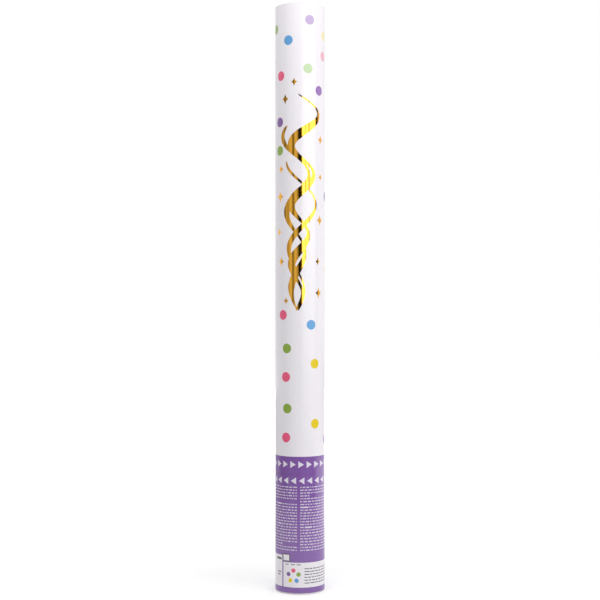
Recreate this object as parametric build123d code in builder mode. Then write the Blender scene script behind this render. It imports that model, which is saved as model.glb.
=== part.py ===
from build123d import *
import math
import os

# A twist-action confetti popper. A long launch tube holds the confetti and turns on a short grip,
# which holds a charged air cylinder. Turning the grip lifts the plug out of the cylinder's outlet.
# Millimetres, +Z up, origin at the middle of the foot.

# Tubes and printed wraps
overall_length = 600.0
outside_diameter = 51.0
wrap_thick = 0.25
glue_line = 0.02
tube_wall = 1.75
grip_length = 121.0
seam_gap = 0.4
arrow_band_height = 18.6
label_foot = 1.2

# Moulded plugs that close the two ends
end_recess = 1.2
end_plug_depth = 10.0
end_plug_floor = 1.6
end_plug_wall = 1.4
end_plug_fit = 0.05
end_lead_in = 0.6
end_rim_round = 0.4
end_rib_count = 6
end_rib_thick = 1.3
end_rib_height = 4.5
end_hub_radius = 5.0
end_gate_radius = 1.5
end_gate_depth = 0.8

# Air cylinder and what packs it in the grip
pad_thick = 2.0
liner_wall = 1.3
liner_fit = 0.15
cylinder_wall = 0.8
foot_radius = 2.6
foot_ring_width = 1.4
dish_depth = 5.0
dish_flat_radius = 9.0
fill_hole_radius = 3.5
fill_flange_width = 2.5
fill_flange_thick = 1.6
fill_fit = 0.05
neck_height = 7.0
neck_lip_width = 2.0
neck_lip_thick = 1.2

# Valve seat, crimped on the neck by a ferrule
gasket_thick = 1.0
seat_flange_thick = 2.5
seat_spigot_length = 9.0
seat_spigot_fit = 0.1
outlet_to_boss = 0.52
boss_rise = 4.0
boss_room = 1.6
barb_height = 1.6
barb_grip = 0.4
barb_gap = 0.1
ferrule_thick = 0.5
ferrule_fit = 0.1
ferrule_lip = 1.5
ferrule_room = 0.9

# Cam collar, turned by the grip
twist_angle = 90.0
plug_lift = 8.0
bearing_below_seam = 16.0
bearing_thick = 3.0
bearing_play = 0.3
collar_seat_gap = 0.2
barrel_wall = 2.8
barrel_running_fit = 0.2
barrel_bridge = 3.6
hex_fit = 0.1
slot_overcut = 1.0

# Release plug, its rings and its pin
pin_diameter = 4.0
pin_slot_fit = 0.15
pin_press_fit = 0.02
pin_chamfer = 0.4
pin_end_gap = 0.3
stem_fit = 0.1
stem_depth = 14.0
stem_chamfer = 0.8
head_rise = 3.0
head_height = 12.0
head_fit = 0.3
head_vent_count = 4
head_vent_web = 0.9
head_core_depth = 2.5
ring_section = 1.8
ring_wall_gap = 0.05
ring_groove_play = 0.1
ring_first_depth = 2.7
ring_pitch = 3.4
ring_count = 2

# Valve housing, glued in the launch tube, with its skirt turning inside the grip tube
housing_fit = 0.05
skirt_fit = 0.3
skirt_wall = 2.0
guide_wall = 2.6
guide_room = 2.4
deck_gap = 1.5
deck_thick = 2.5
rim_height = 12.0
housing_rib_count = 8
housing_rib_thick = 1.5
housing_rib_root = 0.6
keeper_thick = 2.5
keeper_fit = 0.1
keeper_bead = 0.4
keeper_notch_count = 4
keeper_notch_radius = 1.6
liner_skirt_gap = 0.5
diffuser_thick = 2.0
diffuser_fit = 0.15
diffuser_web = 2.1
diffuser_inner_count = 6
diffuser_outer_count = 12
diffuser_edge = 2.2

# Wad and confetti
wad_fit = 0.4
wad_wall = 1.5
wad_height = 12.0
wad_head = 3.0
wad_seat_gap = 0.3
wad_round = 1.0
wad_disc_thick = 2.5
layer_count = 7
slip_width = 17.0
bundle_gap = 0.3
bundle_corner = 0.8
stack_fit = 0.7
stack_headroom = 38.85

# Radii, worked inwards from the outside of the print
wrap_radius = outside_diameter / 2
tube_radius = wrap_radius - wrap_thick - glue_line
bore_radius = tube_radius - tube_wall
housing_radius = bore_radius - housing_fit
skirt_radius = bore_radius - skirt_fit
skirt_inner = skirt_radius - skirt_wall
guide_outer = skirt_inner - guide_room
guide_inner = guide_outer - guide_wall
barrel_outer = guide_inner - barrel_running_fit
barrel_inner = barrel_outer - barrel_wall
bearing_radius = skirt_inner - bearing_play
pin_radius = pin_diameter / 2
slot_half_width = pin_radius + pin_slot_fit
boss_corner = barrel_inner - boss_room
boss_flat = boss_corner * math.cos(math.pi / 6)
outlet_radius = boss_corner * outlet_to_boss
stem_radius = outlet_radius - stem_fit
head_radius = barrel_inner - head_fit
ferrule_lip_inner = boss_corner + ferrule_room
neck_lip_radius = ferrule_lip_inner + ferrule_lip
neck_radius = neck_lip_radius - neck_lip_width
neck_inner = neck_radius - cylinder_wall
ferrule_inner = neck_lip_radius + ferrule_fit
ferrule_radius = ferrule_inner + ferrule_thick
keeper_radius = skirt_inner - keeper_fit
keeper_inner = ferrule_radius + bearing_play
liner_radius = bore_radius - glue_line
liner_inner = liner_radius - liner_wall
cylinder_radius = liner_inner - liner_fit
shoulder_radius = cylinder_radius - neck_radius
end_plug_radius = bore_radius - end_plug_fit
end_plug_inner = end_plug_radius - end_plug_wall
diffuser_radius = skirt_inner - diffuser_fit
wad_radius = bore_radius - wad_fit
stack_radius = bore_radius - stack_fit

# Levels in the grip, worked up from the foot and down from the seam
launch_base = grip_length + seam_gap
band_top = launch_base + arrow_band_height
pad_base = end_recess + end_plug_depth
pad_top = pad_base + pad_thick
bearing_top = grip_length - bearing_below_seam
collar_base = bearing_top - bearing_thick
ferrule_top = collar_base - collar_seat_gap
seat_flange_top = ferrule_top - ferrule_thick
seat_flange_base = seat_flange_top - seat_flange_thick
neck_top = seat_flange_base - gasket_thick
neck_lip_base = neck_top - neck_lip_thick
neck_base = neck_top - neck_height
shoulder_base = neck_base - shoulder_radius
boss_top = bearing_top + boss_rise
keeper_top = collar_base - bearing_play
keeper_base = keeper_top - keeper_thick
skirt_base = keeper_base - 2 * keeper_bead
liner_top = skirt_base - liner_skirt_gap

# Levels of the plug, the housing and the load, worked up from the seat
head_base = boss_top + head_rise
head_top = head_base + head_height
pin_height = head_base + head_height / 2
barrel_top = pin_height + plug_lift + slot_half_width + barrel_bridge
guide_base = bearing_top + bearing_play
deck_base = barrel_top + deck_gap
deck_top = deck_base + deck_thick
rim_top = deck_top + rim_height
wad_base = rim_top + wad_seat_gap
wad_top = wad_base + wad_height
disc_top = wad_top + wad_disc_thick
stack_base = disc_top + bundle_gap
cap_floor_base = overall_length - end_recess - end_plug_depth
layer_pitch = (cap_floor_base - stack_headroom - stack_base) / layer_count
slip_length = layer_pitch - bundle_gap

os.makedirs("parts", exist_ok=True)


def ring(outer, inner):
    """Draw a flat ring in the sketch that is open, centred on the popper's axis."""
    Circle(outer)
    Circle(inner, mode=Mode.SUBTRACT)


# Bottom cap: a moulded cup pushed into the grip tube with its mouth outwards,
# stiffened by ribs from a hub that has the gate's dimple in it
cap_floor_face = pad_base - end_plug_floor
with BuildPart() as bottom_cap:
    with BuildSketch(Plane.XZ):
        with BuildLine():
            Polyline(
                (0, pad_base),
                (0, cap_floor_face),
                (end_plug_inner, cap_floor_face),
                (end_plug_inner, end_recess),
                (end_plug_radius, end_recess),
                (end_plug_radius, pad_base - end_lead_in),
                (end_plug_radius - end_lead_in, pad_base),
                close=True,
            )
        make_face()
    revolve(axis=Axis.Z)
    fillet(edges().group_by(Axis.Z)[0], radius=end_rim_round)
    with BuildSketch(Plane.XY.offset(cap_floor_face - end_rib_height)):
        Circle(end_hub_radius)
        with PolarLocations(0, end_rib_count):
            Rectangle(end_plug_radius - end_plug_wall / 2, end_rib_thick, align=(Align.MIN, Align.CENTER))
    extrude(amount=end_rib_height)
    with BuildSketch(Plane.XY.offset(cap_floor_face - end_rib_height)):
        Circle(end_gate_radius)
    extrude(amount=end_gate_depth, mode=Mode.SUBTRACT)
bottom_cap.part.label = "bottom_cap"
export_step(bottom_cap.part, "parts/bottom_cap.step")

# Base pad: a pulpboard disc that spreads the cylinder's weight on the cap
with BuildPart() as base_pad:
    with BuildSketch(Plane.XY.offset(pad_base)):
        Circle(liner_radius)
    extrude(amount=pad_thick)
base_pad.part.label = "base_pad"
export_step(base_pad.part, "parts/base_pad.step")

# Grip tube: wound board, and the popper stands on its cut lower edge
with BuildPart() as grip_tube:
    with BuildSketch(Plane.XY):
        ring(tube_radius, bore_radius)
    extrude(amount=grip_length)
grip_tube.part.label = "grip_tube"
export_step(grip_tube.part, "parts/grip_tube.step")

# Grip label: laminated paper glued round the grip tube, stopping just short of the foot
with BuildPart() as grip_label:
    with BuildSketch(Plane.XY.offset(label_foot)):
        ring(wrap_radius, tube_radius + glue_line)
    extrude(amount=grip_length - label_foot)
grip_label.part.label = "grip_label"
export_step(grip_label.part, "parts/grip_label.step")

# Grip liner: a board sleeve that glues the cylinder into the grip tube
with BuildPart() as grip_liner:
    with BuildSketch(Plane.XY.offset(pad_top)):
        ring(liner_radius, liner_inner)
    extrude(amount=liner_top - pad_top)
grip_liner.part.label = "grip_liner"
export_step(grip_liner.part, "parts/grip_liner.step")

# Air cylinder: drawn aluminium with a dished base, a round shoulder and a lipped neck
dish_face = pad_top + dish_depth
dish_rim_radius = cylinder_radius - foot_radius - foot_ring_width
foot_centre = (cylinder_radius - foot_radius, pad_top + foot_radius)
shoulder_centre = (neck_radius, shoulder_base)
neck_root = neck_base - cylinder_wall
cylinder_bore = cylinder_radius - cylinder_wall
with BuildPart() as air_cylinder:
    with BuildSketch(Plane.XZ):
        with BuildLine():
            Polyline(
                (fill_hole_radius, dish_face + cylinder_wall),
                (fill_hole_radius, dish_face),
                (dish_flat_radius, dish_face),
                (dish_rim_radius, pad_top),
                (foot_centre[0], pad_top),
            )
            CenterArc(foot_centre, foot_radius, -90, 90)
            Line((cylinder_radius, foot_centre[1]), (cylinder_radius, shoulder_base))
            CenterArc(shoulder_centre, shoulder_radius, 0, 90)
            Polyline(
                (neck_radius, neck_base),
                (neck_radius, neck_lip_base),
                (neck_lip_radius, neck_lip_base),
                (neck_lip_radius, neck_top),
                (neck_inner, neck_top),
                (neck_inner, neck_root),
                (neck_radius, neck_root),
            )
            CenterArc(shoulder_centre, shoulder_radius - cylinder_wall, 90, -90)
            Line((cylinder_bore, shoulder_base), (cylinder_bore, foot_centre[1]))
            CenterArc(foot_centre, foot_radius - cylinder_wall, 0, -90)
            Polyline(
                (foot_centre[0], pad_top + cylinder_wall),
                (dish_rim_radius, pad_top + cylinder_wall),
                (dish_flat_radius, dish_face + cylinder_wall),
                (fill_hole_radius, dish_face + cylinder_wall),
            )
        make_face()
    revolve(axis=Axis.Z)
air_cylinder.part.label = "air_cylinder"
export_step(air_cylinder.part, "parts/air_cylinder.step")

# Fill valve: a rubber grommet buttoned into the dished base, through which the cylinder was charged
fill_flange_radius = fill_hole_radius + fill_flange_width
with BuildPart() as fill_valve:
    with BuildSketch(Plane.XY.offset(dish_face - fill_flange_thick)):
        Circle(fill_flange_radius)
    extrude(amount=fill_flange_thick)
    with BuildSketch(Plane.XY.offset(dish_face)):
        Circle(fill_hole_radius - fill_fit)
    extrude(amount=cylinder_wall)
    with BuildSketch(Plane.XY.offset(dish_face + cylinder_wall)):
        Circle(fill_flange_radius)
    extrude(amount=fill_flange_thick)
fill_valve.part.label = "fill_valve"
export_step(fill_valve.part, "parts/fill_valve.step")

# Neck gasket: a flat rubber washer between the neck's lip and the seat
spigot_radius = neck_inner - seat_spigot_fit
with BuildPart() as neck_gasket:
    with BuildSketch(Plane.XY.offset(neck_top)):
        ring(neck_lip_radius, neck_inner)
    extrude(amount=gasket_thick)
neck_gasket.part.label = "neck_gasket"
export_step(neck_gasket.part, "parts/neck_gasket.step")

# Valve seat: a moulding with a spigot in the neck, a flange,
# and a hexagon boss with a snap barb for the collar
barb_base = bearing_top + barb_gap
barb_root = boss_flat - hex_fit
with BuildPart() as valve_seat:
    with BuildSketch(Plane.XY.offset(seat_flange_base - seat_spigot_length)):
        Circle(spigot_radius)
    extrude(amount=seat_spigot_length)
    with BuildSketch(Plane.XY.offset(seat_flange_base)):
        Circle(neck_lip_radius)
    extrude(amount=seat_flange_thick)
    with BuildSketch(Plane.XY.offset(seat_flange_top)):
        RegularPolygon(radius=boss_corner, side_count=6)
    extrude(amount=boss_top - seat_flange_top)
    with BuildSketch(Plane.XZ):
        with BuildLine():
            Polyline(
                (0, barb_base),
                (boss_flat + hex_fit + barb_grip, barb_base),
                (barb_root, barb_base + barb_height),
                (0, barb_base + barb_height),
                close=True,
            )
        make_face()
    revolve(axis=Axis.Z)
    with BuildSketch(Plane.XY.offset(seat_flange_base - seat_spigot_length)):
        Circle(outlet_radius)
    extrude(amount=boss_top - seat_flange_base + seat_spigot_length, mode=Mode.SUBTRACT)
valve_seat.part.label = "valve_seat"
export_step(valve_seat.part, "parts/valve_seat.step")

# Crimp ferrule: an aluminium band rolled over the seat's flange and under the neck's lip
ferrule_base = neck_lip_base - ferrule_thick
with BuildPart() as crimp_ferrule:
    with BuildSketch(Plane.XZ):
        with BuildLine():
            Polyline(
                (ferrule_lip_inner, ferrule_base),
                (ferrule_radius, ferrule_base),
                (ferrule_radius, ferrule_top),
                (ferrule_lip_inner, ferrule_top),
                (ferrule_lip_inner, seat_flange_top),
                (ferrule_inner, seat_flange_top),
                (ferrule_inner, neck_lip_base),
                (ferrule_lip_inner, neck_lip_base),
                close=True,
            )
        make_face()
    revolve(axis=Axis.Z)
crimp_ferrule.part.label = "crimp_ferrule"
export_step(crimp_ferrule.part, "parts/crimp_ferrule.step")

# One cam slot, as a solid to cut with: it climbs by the plug's lift over the twist,
# and is tall enough for the pin where the lead is steepest, at the barrel's bore
slot_middle = (barrel_inner + barrel_outer) / 2
slot_depth = barrel_wall + 2 * slot_overcut
lead_angle = math.atan(plug_lift / (barrel_inner * math.radians(twist_angle)))
slot_height = 2 * slot_half_width / math.cos(lead_angle)
with BuildPart() as cam_slot:
    with BuildLine() as cam_path:
        Helix(
            pitch=plug_lift * 360 / twist_angle,
            height=plug_lift,
            radius=slot_middle,
            center=(0, 0, pin_height),
        )
    with BuildSketch(Plane.XZ):
        with Locations((slot_middle, pin_height)):
            Rectangle(slot_depth, slot_height)
    sweep(path=cam_path.line, is_frenet=True)

# Cam collar: a bearing flange keyed to the seat's hexagon, and a barrel with two helical slots for the pin
twist = math.radians(twist_angle)
end_of_twist = Plane(
    origin=(0, 0, pin_height + plug_lift),
    x_dir=(-math.sin(twist), math.cos(twist), 0),
    z_dir=(math.cos(twist), math.sin(twist), 0),
)
with BuildPart() as cam_collar:
    with BuildSketch(Plane.XY.offset(collar_base)):
        Circle(bearing_radius)
    extrude(amount=bearing_thick)
    with BuildSketch(Plane.XY.offset(bearing_top)):
        ring(barrel_outer, barrel_inner)
    extrude(amount=barrel_top - bearing_top)
    with BuildSketch(Plane.XY.offset(collar_base)):
        RegularPolygon(radius=boss_flat + hex_fit, side_count=6, major_radius=False)
    extrude(amount=bearing_thick, mode=Mode.SUBTRACT)
    add(cam_slot.part, mode=Mode.SUBTRACT)
    add(cam_slot.part, rotation=(0, 0, 180), mode=Mode.SUBTRACT)
    with BuildSketch(Plane.YZ):
        with Locations((0, pin_height)):
            Circle(slot_half_width)
    extrude(amount=barrel_outer + slot_overcut, both=True, mode=Mode.SUBTRACT)
    with BuildSketch(end_of_twist):
        Circle(slot_half_width)
    extrude(amount=barrel_outer + slot_overcut, both=True, mode=Mode.SUBTRACT)
cam_collar.part.label = "cam_collar"
export_step(cam_collar.part, "parts/cam_collar.step")

# Release plug: a ringed stem that stops the outlet, under a vented head that carries the pin
ring_radius = ring_section / 2
ring_centre = outlet_radius - ring_wall_gap - ring_radius
groove_floor = ring_centre - ring_radius - ring_groove_play
groove_width = ring_section + 2 * ring_groove_play
ring_levels = [boss_top - ring_first_depth - ring_pitch * turn for turn in range(ring_count)]
vent_radius = (head_radius - stem_radius) / 2 - head_vent_web
vent_circle = (head_radius + stem_radius) / 2
with BuildPart() as release_plug:
    with BuildSketch(Plane.XY.offset(boss_top - stem_depth)):
        Circle(stem_radius)
    extrude(amount=stem_depth + head_rise)
    chamfer(edges().group_by(Axis.Z)[0], length=stem_chamfer)
    for level in ring_levels:
        with BuildSketch(Plane.XY.offset(level - groove_width / 2)):
            ring(stem_radius, groove_floor)
        extrude(amount=groove_width, mode=Mode.SUBTRACT)
    with BuildSketch(Plane.XY.offset(head_base)):
        Circle(head_radius)
        with PolarLocations(vent_circle, head_vent_count, start_angle=180 / head_vent_count):
            Circle(vent_radius, mode=Mode.SUBTRACT)
    extrude(amount=head_height)
    with BuildSketch(Plane.XY.offset(head_top - head_core_depth)):
        Circle(stem_radius)
    extrude(amount=head_core_depth, mode=Mode.SUBTRACT)
    with BuildSketch(Plane.YZ):
        with Locations((0, pin_height)):
            Circle(pin_radius + pin_press_fit)
    extrude(amount=head_radius, both=True, mode=Mode.SUBTRACT)
release_plug.part.label = "release_plug"
export_step(release_plug.part, "parts/release_plug.step")

# Plug rings: two rubber O-rings in the stem's grooves
with BuildPart() as plug_o_rings:
    for level in ring_levels:
        with BuildSketch(Plane.XZ):
            with Locations((ring_centre, level)):
                Circle(ring_radius)
        revolve(axis=Axis.Z)
plug_o_rings.part.label = "plug_o_rings"
export_step(plug_o_rings.part, "parts/plug_o_rings.step")

# Cross pin: ground steel, pressed through the plug's head and out through both pairs of slots
with BuildPart() as cross_pin:
    with BuildSketch(Plane.YZ):
        with Locations((0, pin_height)):
            Circle(pin_radius)
    extrude(amount=guide_outer - pin_end_gap, both=True)
    chamfer(edges().filter_by(GeomType.CIRCLE), length=pin_chamfer)
cross_pin.part.label = "cross_pin"
export_step(cross_pin.part, "parts/cross_pin.step")

# Valve housing: glued in the launch tube, with a skirt in the grip tube, a deck,
# and a hanging guide sleeve whose straight slots keep the pin from turning
guide_slot_top = pin_height + plug_lift
rib_circle = (guide_outer + skirt_inner) / 2
with BuildPart() as valve_housing:
    with BuildSketch(Plane.XZ):
        with BuildLine():
            Polyline(
                (skirt_inner, skirt_base),
                (skirt_radius, skirt_base),
                (skirt_radius, launch_base),
                (housing_radius, launch_base),
                (housing_radius, rim_top),
                (skirt_inner, rim_top),
                (skirt_inner, deck_top),
                (guide_inner, deck_top),
                (guide_inner, guide_base),
                (guide_outer, guide_base),
                (guide_outer, deck_base),
                (skirt_inner, deck_base),
                (skirt_inner, keeper_base),
                (skirt_inner - keeper_bead, keeper_base - keeper_bead),
                close=True,
            )
        make_face()
    revolve(axis=Axis.Z)
    with BuildSketch(Plane.XY.offset(guide_base)):
        with PolarLocations(rib_circle, housing_rib_count, start_angle=180 / housing_rib_count):
            Rectangle(guide_room + 2 * housing_rib_root, housing_rib_thick)
    extrude(amount=deck_base - guide_base)
    with BuildSketch(Plane.YZ):
        with Locations((0, guide_slot_top)):
            Circle(slot_half_width)
        with Locations((0, guide_base)):
            Rectangle(
                2 * slot_half_width,
                guide_slot_top - guide_base,
                align=(Align.CENTER, Align.MIN),
            )
    extrude(amount=guide_outer + guide_room / 2, both=True, mode=Mode.SUBTRACT)
valve_housing.part.label = "valve_housing"
export_step(valve_housing.part, "parts/valve_housing.step")

# Retaining ring: snapped past the skirt's bead to hold the collar's bearing flange up,
# with notches for the tool that presses it home
with BuildPart() as retaining_ring:
    with BuildSketch(Plane.XY.offset(keeper_base)):
        ring(keeper_radius, keeper_inner)
        with PolarLocations(keeper_inner, keeper_notch_count):
            Circle(keeper_notch_radius, mode=Mode.SUBTRACT)
    extrude(amount=keeper_thick)
retaining_ring.part.label = "retaining_ring"
export_step(retaining_ring.part, "parts/retaining_ring.step")

# Diffuser plate: a drilled disc on the deck that spreads the blast under the wad
hole_circle_inner = guide_inner / 2
hole_circle_outer = guide_inner - diffuser_edge
diffuser_hole_radius = (hole_circle_outer - hole_circle_inner - diffuser_web) / 2
with BuildPart() as diffuser_plate:
    with BuildSketch(Plane.XY.offset(deck_top)):
        Circle(diffuser_radius)
        Circle(diffuser_hole_radius, mode=Mode.SUBTRACT)
        with PolarLocations(hole_circle_inner, diffuser_inner_count):
            Circle(diffuser_hole_radius, mode=Mode.SUBTRACT)
        with PolarLocations(hole_circle_outer, diffuser_outer_count):
            Circle(diffuser_hole_radius, mode=Mode.SUBTRACT)
    extrude(amount=diffuser_thick)
diffuser_plate.part.label = "diffuser_plate"
export_step(diffuser_plate.part, "parts/diffuser_plate.step")

# Launch tube: wound board, open at the muzzle
with BuildPart() as launch_tube:
    with BuildSketch(Plane.XY.offset(launch_base)):
        ring(tube_radius, bore_radius)
    extrude(amount=overall_length - launch_base)
launch_tube.part.label = "launch_tube"
export_step(launch_tube.part, "parts/launch_tube.step")

# Arrow band: the part of the label that stays above the seam, on the launch tube
with BuildPart() as arrow_band:
    with BuildSketch(Plane.XY.offset(launch_base)):
        ring(wrap_radius, tube_radius + glue_line)
    extrude(amount=arrow_band_height)
arrow_band.part.label = "arrow_band"
export_step(arrow_band.part, "parts/arrow_band.step")

# Launch wrap: the printed and laminated paper round the rest of the launch tube
with BuildPart() as launch_wrap:
    with BuildSketch(Plane.XY.offset(band_top)):
        ring(wrap_radius, tube_radius + glue_line)
    extrude(amount=overall_length - band_top)
launch_wrap.part.label = "launch_wrap"
export_step(launch_wrap.part, "parts/launch_wrap.step")

# Pusher wad: a moulded pulp cup, mouth down, that the blast drives up the tube
with BuildPart() as pusher_wad:
    with BuildSketch(Plane.XY.offset(wad_base)):
        Circle(wad_radius)
    extrude(amount=wad_height)
    with BuildSketch(Plane.XY.offset(wad_base)):
        Circle(wad_radius - wad_wall)
    extrude(amount=wad_height - wad_head, mode=Mode.SUBTRACT)
    fillet(edges().group_by(Axis.Z)[-1], radius=wad_round)
pusher_wad.part.label = "pusher_wad"
export_step(pusher_wad.part, "parts/pusher_wad.step")

# Wad disc: a greyboard disc between the wad and the confetti
with BuildPart() as wad_disc:
    with BuildSketch(Plane.XY.offset(wad_top)):
        Circle(wad_radius)
    extrude(amount=wad_disc_thick)
wad_disc.part.label = "wad_disc"
export_step(wad_disc.part, "parts/wad_disc.step")

# Confetti: bundles of tissue slips stood on end, a thick one across the bore and a thin one each side of it,
# with every layer laid across the one below
half_width = slip_width / 2
bundle_reach = math.sqrt(stack_radius**2 - half_width**2)
side_inner = half_width + bundle_gap
side_thick = bundle_reach - side_inner
side_middle = side_inner + side_thick / 2
for layer in range(layer_count):
    layer_floor = Plane(
        origin=(0, 0, stack_base + layer * layer_pitch),
        x_dir=((layer + 1) % 2, layer % 2, 0),
        z_dir=(0, 0, 1),
    )
    with BuildPart() as confetti_layer:
        with BuildSketch(layer_floor):
            RectangleRounded(slip_width, 2 * bundle_reach, bundle_corner)
            with Locations((-side_middle, 0), (side_middle, 0)):
                RectangleRounded(side_thick, slip_width, bundle_corner)
        extrude(amount=slip_length)
    confetti_layer.part.label = f"confetti_layer_{layer + 1}"
    export_step(confetti_layer.part, f"parts/confetti_layer_{layer + 1}.step")

# Muzzle cap: the same moulding as the bottom cap, turned over, which the shot pushes out
with BuildPart() as muzzle_cap:
    mirror(bottom_cap.part, about=Plane.XY.offset(overall_length / 2))
muzzle_cap.part.label = "muzzle_cap"
export_step(muzzle_cap.part, "parts/muzzle_cap.step")
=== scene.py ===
import math

import bmesh
import bpy
import numpy as np
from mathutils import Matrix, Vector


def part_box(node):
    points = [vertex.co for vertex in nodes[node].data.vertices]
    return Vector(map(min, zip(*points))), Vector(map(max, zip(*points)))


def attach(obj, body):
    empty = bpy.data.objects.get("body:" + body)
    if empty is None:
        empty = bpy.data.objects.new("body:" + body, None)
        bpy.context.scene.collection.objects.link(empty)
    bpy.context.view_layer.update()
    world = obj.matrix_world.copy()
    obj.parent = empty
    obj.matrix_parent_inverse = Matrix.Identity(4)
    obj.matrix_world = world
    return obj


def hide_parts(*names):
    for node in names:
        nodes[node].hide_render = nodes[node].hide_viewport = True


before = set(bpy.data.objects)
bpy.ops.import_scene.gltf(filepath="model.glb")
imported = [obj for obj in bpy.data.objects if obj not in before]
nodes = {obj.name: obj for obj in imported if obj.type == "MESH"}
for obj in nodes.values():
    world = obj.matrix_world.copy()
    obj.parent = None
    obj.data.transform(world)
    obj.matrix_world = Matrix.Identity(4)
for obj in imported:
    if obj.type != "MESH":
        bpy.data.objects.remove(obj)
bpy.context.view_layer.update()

# Camera: level with the middle of the popper and 1.31 m in front of it, which is what the bow of the foot's
# edge in the picture comes to. The lens takes in the popper's whole height and little more.
scene = bpy.context.scene
scene.view_settings.view_transform = "Standard"
camera = bpy.data.objects.new("camera", bpy.data.cameras.new("camera"))
camera.data.sensor_width = 36.0
camera.data.lens = 76.1
camera.location = (0.0, -1.31, 0.2988)
camera.rotation_euler = (math.pi / 2, 0.0, 0.0)
scene.collection.objects.link(camera)
scene.camera = camera

# White studio: the painted walls all round the set. The camera and reflections see them as plain white, and
# they light the popper with two thirds of that, so that its white paper keeps its shading.
wall_light = 0.67


def linear(colour):
    """Turn an sRGB hex colour into linear red, green and blue by the sRGB curve, with an alpha of 1."""
    coded = np.array([int(colour[start:start + 2], 16) for start in (1, 3, 5)]) / 255
    light = np.where(coded <= 0.04045, coded / 12.92, ((coded + 0.055) / 1.055) ** 2.4)
    return (*light.tolist(), 1.0)


def add_node(owner, kind, inputs=None, **settings):
    """Add a node to a material's or the world's tree. Settings are the node's own properties. Inputs gives
    an input, by name or number, its value, the output that feeds it, or a node whose first output in use
    feeds it. A Mix of colours takes its factor at 0 and its two colours at 6 and 7."""
    added = owner.node_tree.nodes.new(kind)
    for key, value in settings.items():
        setattr(added, key, value)
    for key, value in (inputs or {}).items():
        if isinstance(value, bpy.types.Node):
            value = next(output for output in value.outputs if output.enabled)
        if isinstance(value, bpy.types.NodeSocket):
            owner.node_tree.links.new(value, added.inputs[key])
        else:
            added.inputs[key].default_value = value
    return added


def blank(owner):
    """Empty the node tree of a new material or world, and hand it back."""
    owner.use_nodes = True
    owner.node_tree.nodes.clear()
    return owner


def seen(owner):
    """The largest of three factors, which are 1 for a ray from the camera, a mirrored ray and a ray through
    glass: so 1 where a surface is looked at, and 0 where it only gives light."""
    ray = add_node(owner, "ShaderNodeLightPath").outputs
    bent = {0: ray["Is Glossy Ray"], 1: ray["Is Transmission Ray"]}
    bent_ray = add_node(owner, "ShaderNodeMath", bent, operation="MAXIMUM")
    return add_node(owner, "ShaderNodeMath", {0: ray["Is Camera Ray"], 1: bent_ray}, operation="MAXIMUM")


world = blank(bpy.data.worlds.new("white studio"))
scene.world = world
level = add_node(world, "ShaderNodeMapRange", {"Value": seen(world), "To Min": wall_light, "To Max": 1.0})
walls = add_node(world, "ShaderNodeBackground", {"Color": linear("#FFFFFF"), "Strength": level})
add_node(world, "ShaderNodeOutputWorld", {"Surface": walls})

# White paper sweep: the matt paper that the popper stands on, which takes its shadow. Where it is looked at,
# it is lifted by a third of white beside the popper, and by more with the distance, in metres, until it is
# as white as the walls.
sweep_half = 3000.0
lift_start, lift_end = 0.1, 0.6
lift_near, lift_far = 0.33, 1.0


def skin(name, points, finish, close_rows=True, tone=None):
    """Make a mesh object from grids of points in millimetres, grids by rows by columns by xyz. Each point and
    its next neighbours along and across are a face's corners, and close_rows joins a row's last point to its
    first. Points that meet are merged, which closes poles and ends, and tone gives each point a value to
    colour by."""
    grids, rows, columns = points.shape[:3]
    index = np.arange(grids * rows * columns).reshape(grids, rows, columns)
    if close_rows:
        index = np.concatenate([index, index[:, :, :1]], axis=2)
    corners = [index[:, :-1, :-1], index[:, :-1, 1:], index[:, 1:, 1:], index[:, 1:, :-1]]
    faces = np.stack(corners, axis=-1).reshape(-1, 4)
    mesh = bpy.data.meshes.new(name)
    mesh.from_pydata((points.reshape(-1, 3) * 0.001).tolist(), [], faces.tolist())
    if tone is not None:
        values = mesh.attributes.new("tone", "FLOAT", "POINT").data
        values.foreach_set("value", tone.astype(np.float32).ravel())
    work = bmesh.new()
    work.from_mesh(mesh)
    bmesh.ops.remove_doubles(work, verts=work.verts, dist=1e-7)
    bmesh.ops.recalc_face_normals(work, faces=work.faces)
    work.to_mesh(mesh)
    work.free()
    mesh.polygons.foreach_set("use_smooth", np.ones(len(mesh.polygons), bool))
    mesh.set_sharp_from_angle(angle=math.radians(40))
    mesh.materials.append(finish)
    made = bpy.data.objects.new(name, mesh)
    scene.collection.objects.link(made)
    return made


paper_sweep = blank(bpy.data.materials.new("white paper sweep"))
place = add_node(paper_sweep, "ShaderNodeTexCoord").outputs["Object"]
distance = add_node(paper_sweep, "ShaderNodeVectorMath", {0: place}, operation="LENGTH").outputs["Value"]
away = add_node(paper_sweep, "ShaderNodeMapRange", {
    "Value": distance, "From Min": lift_start, "From Max": lift_end,
    "To Min": lift_near, "To Max": lift_far,
}, interpolation_type="SMOOTHSTEP")
lift = add_node(paper_sweep, "ShaderNodeMath", {0: seen(paper_sweep), 1: away}, operation="MULTIPLY")
glow = add_node(paper_sweep, "ShaderNodeEmission", {"Color": linear("#FFFFFF"), "Strength": lift})
matt = add_node(paper_sweep, "ShaderNodeBsdfDiffuse", {"Color": linear("#F2F2F2")})
both = add_node(paper_sweep, "ShaderNodeAddShader", {0: glow, 1: matt})
add_node(paper_sweep, "ShaderNodeOutputMaterial", {"Surface": both})
paper_sweep.cycles.emission_sampling = "NONE"
span = np.linspace(-sweep_half, sweep_half, 3)
reach, along = np.meshgrid(span, span)
flat = np.stack([reach, along, np.zeros_like(reach)], -1)[None]
floor = skin("floor", flat, paper_sweep, close_rows=False)

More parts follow.
